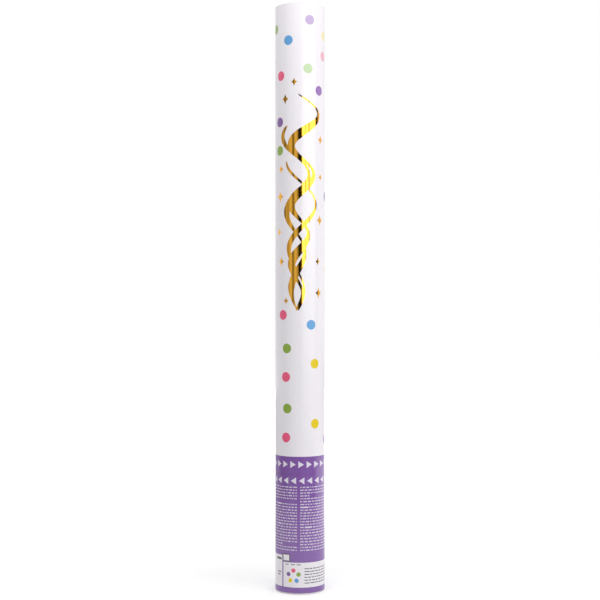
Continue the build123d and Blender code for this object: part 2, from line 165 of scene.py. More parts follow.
# Lamps: a softbox at the right and a small light on a boom over the front of the muzzle light the popper, and
# a long strip beside the softbox shows only in the gloss and the foil. Each has its place, width and height
# in metres, its tilt and turn in degrees and its power in watts.
for name, spot, tilt, turn, wide, tall, watts, gloss_only in (
    ("softbox", (0.60, -0.55, 0.45), 90, 47, 0.6, 0.5, 2.15, False),
    ("boom_light", (0.0, -0.27, 0.86), 42, 0, 0.2, 0.15, 0.67, False),
    ("strip", (0.66, -0.74, 0.56), 90, 42, 1.27, 0.58, 4.3, True),
):
    lamp = bpy.data.objects.new(name, bpy.data.lights.new(name, "AREA"))
    lamp.data.shape = "RECTANGLE"
    lamp.data.size = wide
    lamp.data.size_y = tall
    lamp.data.energy = watts
    lamp.location = spot
    lamp.rotation_euler = (math.radians(tilt), 0.0, math.radians(turn))
    lamp.visible_diffuse = not gloss_only
    lamp.visible_glossy = gloss_only
    lamp.visible_camera = False
    scene.collection.objects.link(lamp)

# Cards and drapes that the gloss and the foil mirror: black card in front, low round the table and at the far
# right, so that the label mirrors white below and dark above, grey card behind and at the strip's seams, and
# drapes at the left. Each glows at its own greys rather than being lit, so what the gloss and the foil mirror
# in them is painted light, and the drapes' streaks are painted light and shade of folds. Only the front card
# also keeps light off the popper.
black = "#0A0A0A"
seam_grey = "#8C8C8C"
table_edge = 115
ceiling = 2000
drape_scale = (4.0, 4.0, 0.9)
drape_shift = (0.0, 0.0, 11.0)
for name, start, end, foot, head, dark, light, gloss_only in (
    ("front_card", (-245, -1600), (270, -1600), 0, ceiling, black, black, False),
    ("table_card", (-70, -460), (78, -460), 0, ceiling, black, black, True),
    ("low_front_card", (-420, -460), (520, -460), 0, table_edge, black, black, True),
    ("low_left_card", (-560, 250), (-420, -460), 0, table_edge, black, black, True),
    ("back_card", (640, 120), (330, 560), 75, 220, "#C0C0C0", "#C0C0C0", True),
    ("back_left_card", (-230, 40), (-90, 230), 0, 185, "#D2D2D2", "#D2D2D2", True),
    ("low_right_card", (300, -350), (445, -119), 0, table_edge, black, black, True),
    ("right_card", (1250, -335), (1250, 0), 0, ceiling, black, black, True),
    ("seam_card", (575, -692), (630, -644), 0, ceiling, seam_grey, seam_grey, True),
    ("near_seam_card", (398, -863), (434, -845), 0, ceiling, seam_grey, seam_grey, True),
    ("near_left_card", (-1060, -470), (-262, -1600), 0, ceiling, "#6C6C6C", "#E8E8E8", True),
    ("far_left_card", (-1500, 150), (-1060, -470), 0, ceiling, "#505050", "#E4E4E4", True),
):
    # The card's colour is a glow, painted light in place of lit board, and the mix of its two greys by the fold
    # noise is painted light and shade
    card_glow = blank(bpy.data.materials.new(f"{name} board"))
    place = add_node(card_glow, "ShaderNodeTexCoord").outputs["Object"]
    hung = {"Vector": place, "Scale": drape_scale, "Location": drape_shift}
    hang = add_node(card_glow, "ShaderNodeMapping", hung)
    fold_noise = add_node(card_glow, "ShaderNodeTexNoise", {"Vector": hang, "Scale": 1.0, "Detail": 2.0})
    fold_light_and_shade = add_node(card_glow, "ShaderNodeMapRange", {"Value": fold_noise, "From Min": 0.35, "From Max": 0.6})
    greys = {0: fold_light_and_shade, 6: linear(dark), 7: linear(light)}
    tint = add_node(card_glow, "ShaderNodeMix", greys, data_type="RGBA")
    shade = add_node(card_glow, "ShaderNodeEmission", {"Color": tint})
    add_node(card_glow, "ShaderNodeOutputMaterial", {"Surface": shade})
    card_glow.cycles.emission_sampling = "NONE"
    run, rise = np.meshgrid(np.linspace(0, 1, 3), np.linspace(foot, head, 3))
    sheet = [start[axis] + (end[axis] - start[axis]) * run for axis in (0, 1)] + [rise]
    card = skin(name, np.stack(sheet, -1)[None], card_glow, close_rows=False)
    card.visible_camera = False
    card.visible_diffuse = not gloss_only
    card.visible_shadow = not gloss_only

# Bottom cap: a cup stiffened by ribs, injection-moulded in white polyethylene, that closes the foot of the
# grip. It is pushed in tight, with its ribs outwards.


def dress(finish, *names):
    """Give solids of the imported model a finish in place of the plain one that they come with."""
    for name in names:
        nodes[name].data.materials.clear()
        nodes[name].data.materials.append(finish)


def moulded(name, dark, light, flow, smooth, rough, index, spark=None, detail=3.0):
    """A moulded piece. Noise as wide as the flow marks, in millimetres, takes the colour from dark to light
    and the roughness from smooth to rough. Spark is the width in millimetres and the strength of the fine
    grain that a spark-eroded mould leaves, and index is the index of refraction."""
    made = blank(bpy.data.materials.new(name))
    place = add_node(made, "ShaderNodeTexCoord").outputs["Object"]
    marks = add_node(made, "ShaderNodeTexNoise", {"Vector": place, "Scale": 1000 / flow, "Detail": detail})
    shades = {0: marks, 6: linear(dark), 7: linear(light)}
    tint = add_node(made, "ShaderNodeMix", shades, data_type="RGBA")
    satin = add_node(made, "ShaderNodeMapRange", {"Value": marks, "To Min": smooth, "To Max": rough})
    surface = {"Base Color": tint, "Roughness": satin, "IOR": index}
    if spark:
        width, strength = spark
        pits = {"Vector": place, "Scale": 1000 / width, "Detail": 2.0}
        grain = add_node(made, "ShaderNodeTexNoise", pits)
        pitted = {"Height": grain, "Strength": strength, "Distance": 0.00005}
        surface["Normal"] = add_node(made, "ShaderNodeBump", pitted)
    shader = add_node(made, "ShaderNodeBsdfPrincipled", surface)
    add_node(made, "ShaderNodeOutputMaterial", {"Surface": shader})
    return made


# Polyethylene is waxy, so its highlights are wide and soft. The mould's grain is about a tenth of a
# millimetre and is drawn at 0.35 mm, because it wouldn't show otherwise.
cap_plastic = moulded("moulded white polyethylene", "#E9E8E4", "#F6F5F2", 7, 0.36, 0.5, 1.51, (0.35, 0.25))
dress(cap_plastic, "bottom_cap")

# Base pad: a disc of grey pulpboard, pressed from waste paper and punched out. It lies loose in the grip, on
# the bottom cap, and the air cylinder stands on it.
fibre_size = 1.2
fleck_size = 1.6
# Pulp is quite dull and fibrous, with darker flecks of the paper it was made from
grey_pulp = blank(bpy.data.materials.new("pressed grey pulp"))
place = add_node(grey_pulp, "ShaderNodeTexCoord").outputs["Object"]
fibre = add_node(grey_pulp, "ShaderNodeTexNoise", {
    "Vector": place, "Scale": 1000 / fibre_size, "Detail": 6.0, "Roughness": 0.7,
})
fleck = add_node(grey_pulp, "ShaderNodeTexVoronoi", {"Vector": place, "Scale": 1000 / fleck_size})
speck = add_node(grey_pulp, "ShaderNodeMapRange", {"Value": fleck, "From Min": 0.08, "From Max": 0.2})
fibres = {0: fibre, 6: linear("#7D766B"), 7: linear("#A39B8D")}
shade = add_node(grey_pulp, "ShaderNodeMix", fibres, data_type="RGBA")
tint = add_node(grey_pulp, "ShaderNodeMix", {0: speck, 6: linear("#6A655C"), 7: shade}, data_type="RGBA")
relief = add_node(grey_pulp, "ShaderNodeBump", {"Height": fibre, "Strength": 0.6, "Distance": 0.0002})
pulp = {"Base Color": tint, "Roughness": 0.92, "Normal": relief}
shader = add_node(grey_pulp, "ShaderNodeBsdfPrincipled", pulp)
add_node(grey_pulp, "ShaderNodeOutputMaterial", {"Surface": shader})
dress(grey_pulp, "base_pad")

# Grip tube: board wound in a spiral from plies of grey chipboard, lined outside with white paper and cut off
# square, so its ends show the plies and its foot, below the label, is white.


def measured(node):
    """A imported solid's least and greatest distance from the tube's axis, and its lowest and highest point, in
    millimetres to the nearest micrometre."""
    corners = nodes[node].data.vertices
    places = np.empty(len(corners) * 3, np.float32)
    corners.foreach_get("co", places)
    x, y, height = places.reshape(-1, 3).T.astype(float) * 1000
    radius = np.hypot(x, y)
    return np.round((radius.min(), radius.max(), height.min(), height.max()), 3).tolist()


tube_bore, tube_outside, grip_foot, grip_top = measured("grip_tube")
saw_rounding = 0.12
ply = 0.35
board_fibre = 0.9
liner_start = tube_outside - 0.18
liner_end = tube_outside - 0.08
# Chipboard is dull and fibrous. A sine of the radius draws the plies on faces that look up or down, and the
# rest is bare brown board in the bore and white liner at the outside.
wound_board = blank(bpy.data.materials.new("wound greyboard"))
place = add_node(wound_board, "ShaderNodeTexCoord").outputs["Object"]
split = add_node(wound_board, "ShaderNodeSeparateXYZ", {0: place}).outputs
flat = add_node(wound_board, "ShaderNodeCombineXYZ", {"X": split["X"], "Y": split["Y"]})
radius = add_node(wound_board, "ShaderNodeVectorMath", {0: flat}, operation="LENGTH").outputs["Value"]
turn = add_node(wound_board, "ShaderNodeMath", {0: radius, 1: 2000 * math.pi / ply}, operation="MULTIPLY")
layers = add_node(wound_board, "ShaderNodeMath", {0: turn}, operation="SINE")
normal = add_node(wound_board, "ShaderNodeNewGeometry").outputs["Normal"]
upright = add_node(wound_board, "ShaderNodeSeparateXYZ", {0: normal}).outputs["Z"]
cut = add_node(wound_board, "ShaderNodeMath", {0: upright}, operation="ABSOLUTE")
on_cut = add_node(wound_board, "ShaderNodeMapRange", {"Value": cut, "From Min": 0.5, "From Max": 0.8})
outside = add_node(wound_board, "ShaderNodeMapRange", {
    "Value": radius, "From Min": liner_start / 1000, "From Max": liner_end / 1000,
})
fibre = add_node(wound_board, "ShaderNodeTexNoise", {
    "Vector": place, "Scale": 1000 / board_fibre, "Detail": 5.0, "Roughness": 0.65,
})
brown = {0: fibre, 6: linear("#9A8B74"), 7: linear("#BCAE97")}
bore = add_node(wound_board, "ShaderNodeMix", brown, data_type="RGBA")
white = {0: fibre, 6: linear("#F1EFEB"), 7: linear("#FAF9F6")}
liner = add_node(wound_board, "ShaderNodeMix", white, data_type="RGBA")
sides = add_node(wound_board, "ShaderNodeMix", {0: outside, 6: bore, 7: liner}, data_type="RGBA")
grain = add_node(wound_board, "ShaderNodeMapRange", {"Value": layers, "From Min": -1.0, "From Max": 1.0})
grey = {0: grain, 6: linear("#A79C8B"), 7: linear("#CFC7B9")}
plies = add_node(wound_board, "ShaderNodeMix", grey, data_type="RGBA")
tint = add_node(wound_board, "ShaderNodeMix", {0: on_cut, 6: sides, 7: plies}, data_type="RGBA")
relief = add_node(wound_board, "ShaderNodeBump", {"Height": fibre, "Strength": 0.5, "Distance": 0.0001})
board = {"Base Color": tint, "Roughness": 0.85, "Normal": relief}
shader = add_node(wound_board, "ShaderNodeBsdfPrincipled", board)
add_node(wound_board, "ShaderNodeOutputMaterial", {"Surface": shader})


def turned(profile, angles):
    """Carry a closed profile of radius and height round the tube's axis: x is radius times the sine of the
    angle from the front, y is minus radius times its cosine, and z is the height."""
    radius, height = np.asarray(profile, float).T[:, None, :]
    angles = np.asarray(angles, float)[:, None]
    return np.stack([radius * np.sin(angles), -radius * np.cos(angles), height + 0 * angles], -1)[None]


def board_profile(low, high):
    """A tube wall's section: a tall rectangle with each cut corner taken off by the saw's small rounding."""
    return [
        (tube_outside, low + saw_rounding), (tube_outside, high - saw_rounding),
        (tube_outside - saw_rounding, high), (tube_bore + saw_rounding, high),
        (tube_bore, high - saw_rounding), (tube_bore, low + saw_rounding),
        (tube_bore + saw_rounding, low), (tube_outside - saw_rounding, low),
    ]


full_turn = np.linspace(0, 2 * math.pi, 193)
grip_board = skin("grip_board", turned(board_profile(grip_foot, grip_top), full_turn), wound_board)
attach(grip_board, "grip")
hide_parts("grip_tube")

# Grip liner: a sleeve of the same wound board that fills the room between the cylinder and the grip tube.
# It is glued to both, so the cylinder turns with the grip.
dress(wound_board, "grip_liner")

# Air cylinder and crimp ferrule: the cylinder is deep-drawn from aluminium, with a dished base and a neck,
# and holds the air. The ferrule, of the same metal, is crimped over the neck's lip and clamps the valve seat.


def worked_metal(name, dark, light, lines, detail, smooth, rough, relief=None, lacquer=(0.0, 0.03)):
    """Metal with the lines that its working leaves. Noise stretched to the lines' size along x, y and z, in
    millimetres, takes the colour from dark to light and the roughness from smooth to rough. Relief is the
    lines' strength and depth in metres, and lacquer is a clear coat's weight and roughness."""
    made = blank(bpy.data.materials.new(name))
    place = add_node(made, "ShaderNodeTexCoord").outputs["Object"]
    drawn = add_node(made, "ShaderNodeMapping", {"Vector": place, "Scale": [1000 / size for size in lines]})
    streaks = add_node(made, "ShaderNodeTexNoise", {"Vector": drawn, "Scale": 1.0, "Detail": detail})
    shades = {0: streaks, 6: linear(dark), 7: linear(light)}
    tint = add_node(made, "ShaderNodeMix", shades, data_type="RGBA")
    satin = add_node(made, "ShaderNodeMapRange", {"Value": streaks, "To Min": smooth, "To Max": rough})
    surface = {"Base Color": tint, "Metallic": 1.0, "Roughness": satin}
    surface.update({"Coat Weight": lacquer[0], "Coat Roughness": lacquer[1]})
    if relief:
        strength, depth = relief
        scored = {"Height": streaks, "Strength": strength, "Distance": depth}
        surface["Normal"] = add_node(made, "ShaderNodeBump", scored)
    shader = add_node(made, "ShaderNodeBsdfPrincipled", surface)
    add_node(made, "ShaderNodeOutputMaterial", {"Surface": shader})
    return made


# Drawing leaves fine bright lines up the metal, which smear its highlights. They are drawn 0.5 mm wide,
# several times as wide as real ones, so that they show.
drawn_aluminium = worked_metal(
    "drawn aluminium", "#BDBFC2", "#D9DADC", (0.5, 0.5, 30), 3.0, 0.2, 0.42, (0.2, 0.00003),
)
dress(drawn_aluminium, "air_cylinder", "crimp_ferrule")

# Fill valve, neck gasket and plug rings: moulded black rubber. The valve is a grommet pressed into the
# cylinder's base, the gasket lies between the neck and the valve seat, and the rings sit in the plug's
# grooves. Rubber is dull and nearly black, with a greyer bloom in patches.
black_rubber = moulded("moulded black rubber", "#19191B", "#302F31", 2.5, 0.55, 0.8, 1.52, detail=4.0)
dress(black_rubber, "fill_valve", "neck_gasket", "plug_o_rings")

# Valve seat, cam collar and release plug: moulded in natural acetal, which is hard and slippery. The ferrule
# clamps the seat, the collar is fixed on the seat's hexagon, and the plug closes the seat's bore. Acetal is a
# creamy white, and smooth enough for a waxy gleam.
seat_plastic = moulded("natural acetal", "#DCD8CC", "#EFECE3", 5, 0.26, 0.42, 1.48)
dress(seat_plastic, "valve_seat", "cam_collar", "release_plug")

# Cross pin: a steel rod, ground between wheels and pushed through the plug's head. Its ends run in the
# collar's helical slots and the housing's straight ones, so that the plug climbs when the grip is turned.
# Grinding leaves fine bright lines round the rod, which lies along x.
ground_steel = worked_metal("ground steel", "#A6A8AB", "#C6C7C9", (0.15, 8, 8), 2.0, 0.16, 0.34)
dress(ground_steel, "cross_pin")

# Valve housing, retaining ring and diffuser plate: moulded in uncoloured polypropylene. The housing is glued
# into the launch tube, the ring holds the collar's flange in it, and the plate, full of holes, covers the
# valve. Polypropylene is milky, and satin from the mould's grain, which is drawn at 0.4 mm so that it shows.
valve_plastic = moulded(
    "moulded natural polypropylene", "#DBDBD8", "#EBEBE8", 6, 0.38, 0.55, 1.49, (0.4, 0.3),
)
dress(valve_plastic, "valve_housing", "retaining_ring", "diffuser_plate")

# Grip label: purple printed paper with a gloss film, glued once round the grip tube and lapped at the back.
# The board's spiral joint shows through as a faint ridge, the cut edge at the foot is rubbed a little pale,
# and the upper edge stands a hair over the tube's, so that the twist seam is a fine line.
wrap_inside, wrap_outside, label_foot, label_end = measured("grip_label")
seam_overhang = 0.14
label_top = label_end + seam_overhang
lap_start = math.radians(170)
lap_width = 9.0
lap_rise = 0.12
lap_end = lap_width / wrap_outside
lap_turns = lap_start + np.array([0.0, 0.02, 0.04, 0.06, lap_end, lap_end + 1e-4])
lap_heights = lap_rise * np.array([0.0, 0.15, 0.85, 1.0, 1.0, 0.0])
spiral_climb = 80.0
ridge_width = 1.5
ridge_share = 0.5
rub_full = 0.1
rub_reach = 0.9
wear_size = 1.5
peel_size = (2.6, 2.6, 60.0)


def laminate(name, dark, light, edges=(), grain=4.0, film=1.5):
    """Printed paper under a gloss film. Noise with the print's grain in millimetres takes the ink from dark
    to light. Edges lists the heights of cut edges, and close to one the ink is rubbed pale in patches. The
    relief is noise stretched up the tube, which is the film's peel, with the ridge's share added where the
    height less the spiral's climb at that angle is near a whole number of turns. Film is the index of
    refraction."""
    made = blank(bpy.data.materials.new(name))
    place = add_node(made, "ShaderNodeTexCoord").outputs["Object"]
    mottle = add_node(made, "ShaderNodeTexNoise", {
        "Vector": place, "Scale": 1000 / grain, "Detail": 4.0, "Roughness": 0.6,
    })
    shades = {0: mottle, 6: linear(dark), 7: linear(light)}
    rubbed = add_node(made, "ShaderNodeMix", shades, data_type="RGBA")
    split = add_node(made, "ShaderNodeSeparateXYZ", {0: place}).outputs
    wear = add_node(made, "ShaderNodeTexNoise", {"Vector": place, "Scale": 1000 / wear_size, "Detail": 3.0})
    for edge in edges:
        above = add_node(made, "ShaderNodeMath", {0: split["Z"], 1: edge / 1000}, operation="SUBTRACT")
        far = add_node(made, "ShaderNodeMath", {0: above}, operation="ABSOLUTE")
        near = add_node(made, "ShaderNodeMapRange", {
            "Value": far, "From Min": rub_full / 1000, "From Max": rub_reach / 1000,
            "To Min": 1.0, "To Max": 0.0,
        })
        patchy = add_node(made, "ShaderNodeMath", {0: near, 1: wear}, operation="MULTIPLY")
        pale = {0: patchy, 6: rubbed, 7: linear("#EDEAEE")}
        rubbed = add_node(made, "ShaderNodeMix", pale, data_type="RGBA")
    front = add_node(made, "ShaderNodeMath", {0: split["Y"], 1: -1.0}, operation="MULTIPLY")
    angle = add_node(made, "ShaderNodeMath", {0: split["X"], 1: front}, operation="ARCTAN2")
    per_turn = spiral_climb / 1000 / (2 * math.pi)
    climb = add_node(made, "ShaderNodeMath", {0: angle, 1: per_turn}, operation="MULTIPLY")
    level = add_node(made, "ShaderNodeMath", {0: split["Z"], 1: climb}, operation="SUBTRACT")
    strip = add_node(made, "ShaderNodeMath", {0: level, 1: spiral_climb / 2000}, operation="PINGPONG")
    ridge = add_node(made, "ShaderNodeMapRange", {
        "Value": strip, "From Min": 0.0, "From Max": ridge_width / 1000, "To Min": 1.0, "To Max": 0.0,
    }, interpolation_type="SMOOTHSTEP")
    stretched = {"Vector": place, "Scale": [1000 / size for size in peel_size]}
    up_tube = add_node(made, "ShaderNodeMapping", stretched)
    peel = add_node(made, "ShaderNodeTexNoise", {"Vector": up_tube, "Scale": 1.0, "Detail": 2.0})
    height = add_node(made, "ShaderNodeMath", {0: ridge, 1: ridge_share, 2: peel}, operation="MULTIPLY_ADD")
    relief = add_node(made, "ShaderNodeBump", {"Height": height, "Strength": 0.25, "Distance": 0.00004})
    gloss = add_node(made, "ShaderNodeMapRange", {"Value": mottle, "To Min": 0.25, "To Max": 0.28})
    surface = {"Base Color": rubbed, "Roughness": gloss, "IOR": film, "Normal": relief}
    shader = add_node(made, "ShaderNodeBsdfPrincipled", surface)
    add_node(made, "ShaderNodeOutputMaterial", {"Surface": shader})
    return made


def outside_at(angle):
    """The wrap's outside radius at an angle from the front. From the lap's start it climbs one paper's
    thickness over the inner end, and at the flap's edge it drops off sharply."""
    return wrap_outside + np.interp(np.mod(angle, 2 * math.pi), lap_turns, lap_heights)


def wrapped(low, high):
    """A paper wrap's closed section carried round the tube, with the lap in its outside."""
    angles = np.union1d(full_turn, lap_turns)
    inside = np.full_like(angles, wrap_inside)
    loops = np.stack([outside_at(angles), outside_at(angles), inside, inside], -1)
    heights = np.array([low, high, high, low]) + 0 * loops
    turn = angles[:, None] + 0 * loops
    return np.stack([loops * np.sin(turn), -loops * np.cos(turn), heights], -1)[None]


# The film over the purple is the glossiest and mirrors what stands round it. The ink's unevenness, which is
# about a tenth of a millimetre, is drawn at 4 mm, or it wouldn't show.
purple_print = laminate("purple laminated print", "#7C4EA0", "#8658AC", (label_foot,), film=1.8)
grip_paper = skin("grip_paper", wrapped(label_foot, label_top), purple_print)
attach(grip_paper, "grip")
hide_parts("grip_label")

# White panels on the grip label: three fields near the foot that the purple ink leaves white, under the same
# film. Each is a thin shell on the wrap, given by its left, right, low and high edge in millimetres.
muzzle = measured("launch_wrap")[3]
large_panel = (-18.4, 46.0, 7.4, 32.6)
left_panel = (-60.0, -19.9, 7.4, 39.2)
tab = (-19.3, -10.3, 33.3, 41.2)
panel_steps = 49


def laid(across, up, proud=0.05, sunk=0.02):
    """Thin printed shapes on the wrap. Across runs round the tube in millimetres from the front and up from
    the foot, each shapes by rows by columns. A row goes over the top face, proud of the wrap, and back
    beneath it, and one more row at each end brings the top face down to close the shape."""
    angle = across / wrap_outside
    bent = np.stack([np.sin(angle), -np.cos(angle), np.zeros_like(angle)], -1)
    raised = np.stack([np.zeros_like(up), np.zeros_like(up), up], -1)
    radius = outside_at(angle)[..., None]
    top = bent * (radius + proud) + raised
    under = bent * (radius - sunk) + raised
    loops = np.concatenate([top, under[:, :, ::-1]], axis=2)
    ends = np.concatenate([under, under[:, :, ::-1]], axis=2)
    return np.concatenate([ends[:, :1], loops, ends[:, -1:]], axis=1)


def fields(edges, steps):
    """Rectangles, each given by its left, right, low and high edge: across goes from left to right in equal
    steps, and up is either low or high."""
    left, right, low, high = np.array(edges, float).T[:, :, None, None]
    run = np.linspace(0, 1, steps)[None, :, None]
    rise = np.array([0.0, 1.0])[None, None, :]
    return left + (right - left) * run + 0 * rise, low + (high - low) * rise + 0 * run


# White paper under film is bright and even. The launch wrap has the same print, rubbed at the muzzle.
white_print = laminate("white laminated print", "#F4F0F6", "#F9F5FA", (muzzle,))
panels = skin("label_panels", laid(*fields([large_panel, left_panel, tab], panel_steps)), white_print)
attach(panels, "grip")

# Dashes on the grip label: a plain pattern of short bars, printed under the film. Four columns are lilac,
# with a few bars longer, bolder and paler, and grey ones lie on the panels and frame the smallest of them.
column_count = 4
column_pitch = 2 * math.pi * wrap_outside / column_count
column_gutter = 3.3
column_width = column_pitch - column_gutter
column_left = 0.2
line_count = 23
first_line = 109.0
line_pitch = 2.9
dash_count = 18
dash_gap = 1.0
fine_half = 0.52
bold_half = 0.62
bold_length = 7.6
chance = np.random.default_rng(11)
fine_bars, bold_bars = [], []
# Filled is the share of the column that each line fills, and bold lists the bold bars by line and place
for column in range(column_count):
    filled = np.ones(line_count)
    if column % 2 == 0:
        filled[3] = 0.33
        bold = ((7, 0), (14, 1))
    else:
        filled[5] = 0.0
        filled[20] = 0.6
        bold = ((6, 3), (13, 3))
    for line, share in enumerate(filled):
        is_bold = np.isin(np.arange(dash_count), [dash for row, dash in bold if row == line])
        lengths = np.where(is_bold, bold_length, chance.uniform(0.9, 3.8, dash_count))
        ends = np.cumsum(lengths + dash_gap)
        fits = ends < column_width * share
        stretch = column_width / (ends[fits][-1] - dash_gap) if share == 1.0 else 1.0
        left = column_left + column * column_pitch + (ends - lengths - dash_gap) * stretch
        right = left + lengths * stretch
        middle = first_line - line_pitch * line
        for bars, half, kept in (
            (fine_bars, fine_half, fits & ~is_bold),
            (bold_bars, bold_half, fits & is_bold),
        ):
            bars += [(*sides, middle - half, middle + half) for sides in zip(left[kept], right[kept])]
# On the panels: three bars at the head of the large one, three on the left one, a block of six lines of bars
# at the right of the large one, and four rules round the smallest
head_low, head_high = 30.2, 31.0
head_bars = ((-15.6, -12.0), (-9.4, -5.2), (-3.4, 0.8))
left_bars = [(-29.0, -20.6, 34.4, 36.6), (-27.2, -21.4, 21.4, 22.4), (-27.2, -22.6, 18.6, 19.6)]
panel_bars = [(*sides, head_low, head_high) for sides in head_bars] + left_bars
block_left = 4.6
block_width = 39.0
block_lines = 6
block_foot = 26.0
block_gap = 0.8
bar_height = 0.9
for line in range(block_lines):
    lengths = chance.uniform(1.6, 5.5, 9)
    ends = np.cumsum(lengths + block_gap)
    fits = ends < block_width
    right = (block_left + ends - block_gap)[fits]
    left = right - lengths[fits]
    low = block_foot - line_pitch * line
    panel_bars += [(*sides, low, low + bar_height) for sides in zip(left, right)]
rule = 1.0
rule_gap = 0.03
tab_left, tab_right, tab_low, tab_high = tab
panel_bars += [(left, left + rule, tab_low, tab_high) for left in (tab_left, tab_right - rule)]
between = (tab_left + rule + rule_gap, tab_right - rule - rule_gap)
panel_bars += [(*between, low, low + rule) for low in (tab_low, tab_high - rule)]
# Fine ink is uneven along its edges. The lilac and the grey are mottled across a millimetre for that, coarser
# than in real print, so that single bars differ.
lilac_print = laminate("lilac laminated print", "#B49DCB", "#FFFFFF", grain=0.9)
pale_print = laminate("pale lilac laminated print", "#E6DCEF", "#EEE7F5")
grey_print = laminate("grey laminated print", "#1E1C22", "#7C7A82", grain=1.1)
ink_proud = 0.05
second_ink_proud = 0.07
for name, bars, steps, finish, proud in (
    ("label_dashes", fine_bars, 3, lilac_print, ink_proud),
    ("label_bold_dashes", bold_bars, 5, pale_print, ink_proud),
    ("panel_dashes", panel_bars, 5, grey_print, second_ink_proud),
):
    dashes = skin(name, laid(*fields(bars, steps), proud=proud), finish)
    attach(dashes, "grip")

# Ring of dots: five plain dots on the large panel, printed under the film, one in each of the colours of the
# launch wrap's dots.
ring_side = -6.8
ring_height = 19.0
ring_radius = 5.6
ring_dot_radius = 2.2
dot_shades = {
    "pink": ("#EC5880", "#F6658C"), "green": ("#88A83E", "#95B54A"), "blue": ("#5C9FD8", "#6CACE2"),
    "yellow": ("#E6CA00", "#F2D608"), "purple": ("#7F579A", "#8D65A8"),
}
dot_print = {}
for colour, shades in dot_shades.items():
    dot_print[colour] = laminate(f"{colour} laminated print", *shades)


def discs(middles, radius):
    """Round dots: across follows minus the cosine of a half turn, and up spreads by its sine each way."""
    side, height = np.array(middles, float).T[:, :, None, None]
    sweep = np.linspace(0, math.pi, 25)[None, :, None]
    cross = np.linspace(-1, 1, 7)[None, None, :]
    return side - radius * np.cos(sweep) + 0 * cross, height + radius * np.sin(sweep) * cross


for number, colour in enumerate(dot_print):
    turn = 2 * math.pi * number / len(dot_print)
    middle = (ring_side + ring_radius * math.sin(turn), ring_height + ring_radius * math.cos(turn))
    round_dot = laid(*discs([middle], ring_dot_radius), proud=second_ink_proud)
    ring_dot = skin(f"panel_dot_{colour}", round_dot, dot_print[colour])
    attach(ring_dot, "grip")

# Lower arrows: a row of triangles round the top of the grip label, which the purple ink leaves pale. They
# point to the left, the way the grip is turned.
grip_arrow_height = 115.5
grip_arrow_first = 3.7


def triangles(height, first, pointing, count=19, length=5.7, width=6.9):
    """A row of triangles round the tube, from a first angle in degrees. Each runs along by its length, and
    its width shrinks to nothing at the tip."""
    run = np.linspace(0, 1, 6)[None, :, None]
    spread = np.linspace(-0.5, 0.5, 4)[None, None, :]
    middle = (np.radians(first) + np.arange(count) * 2 * math.pi / count)[:, None, None] * wrap_outside
    across = middle + pointing * length * (run - 0.5) + 0 * spread
    return across, height + width * (1 - run) * spread + 0 * middle


grip_arrows = skin("grip_arrows", laid(*triangles(grip_arrow_height, grip_arrow_first, -1)), pale_print)
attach(grip_arrows, "grip")

# Launch tube: the same wound board as the grip's. The valve housing is glued into its foot, and its upper end
# is the muzzle, which the cap closes.
launch_foot = measured("launch_tube")[2]
launch_board = skin("launch_board", turned(board_profile(launch_foot, muzzle), full_turn), wound_board)
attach(launch_board, "launcher")
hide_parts("launch_tube")

# Arrow band: the part of the purple label that is glued to the launch tube, above the twist seam. Its lower
# edge stands a hair below the tube's, and its arrows point to the right, against those of the grip.
band_end, band_top = measured("arrow_band")[2:]
band_foot = band_end - seam_overhang
band_arrow_height = 132.0
band_arrow_first = 2.6
band_paper = skin("band_paper", wrapped(band_foot, band_top), purple_print)
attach(band_paper, "launcher")
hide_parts("arrow_band")
band_arrows = skin("band_arrows", laid(*triangles(band_arrow_height, band_arrow_first, 1)), pale_print)
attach(band_arrows, "launcher")

# Launch wrap: white paper with a gloss film, glued round the launch tube and lapped at the back. It is
# printed with dots of five colours, some of them pale, each placed by its angle from the front in degrees
# and by its height in millimetres. The pale and mid dots on the front's right are paled partly as painted
# highlight, where the strip's glare falls on them; those round the back are pale print.
dot_radius = 4.95
launch_paper = skin("launch_paper", wrapped(band_top, muzzle), white_print)
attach(launch_paper, "launcher")
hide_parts("launch_wrap")
